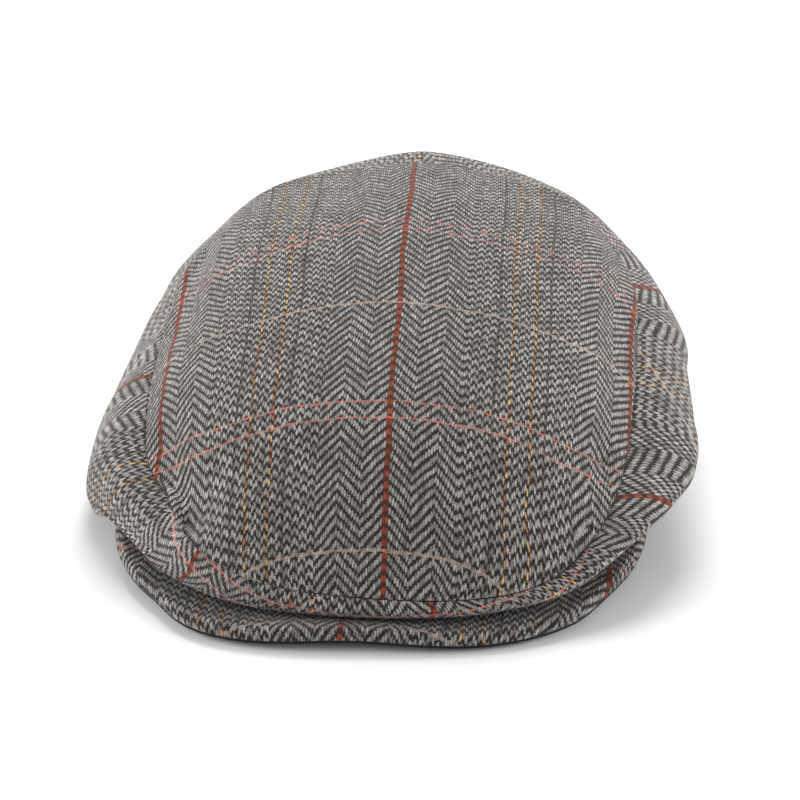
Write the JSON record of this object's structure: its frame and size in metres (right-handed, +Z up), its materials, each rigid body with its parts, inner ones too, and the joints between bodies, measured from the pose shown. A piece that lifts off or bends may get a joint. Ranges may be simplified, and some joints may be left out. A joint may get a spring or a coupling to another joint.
{
  "type": "flat cap",
  "caption": "Flat cap with a rounded one-piece top panel, a full side band rolled under to an open head hem, and a short crescent peak under the front lip.",
  "frame": {"origin": "middle of the cap's length and width, on the surface it rests on", "axes": "+Z up, -Y towards the front of the peak, +X to the wearer's left"},
  "size_m": [0.2249, 0.2731, 0.0839],
  "materials": {
    "crown_tweed": "wool tweed, herringbone and birdseye with overcheck",
    "band_tweed": "wool tweed, herringbone and birdseye with overcheck",
    "peak_tweed": "wool tweed, herringbone and birdseye with overcheck",
    "peak_underside": "dark woven cloth"
  },
  "bodies": {
    "root": {"top_panel": "crown_tweed", "side_band": "band_tweed", "peak_upper_cloth": "peak_tweed", "peak_lower_cloth": "peak_underside"}
  },
  "joints": []
}
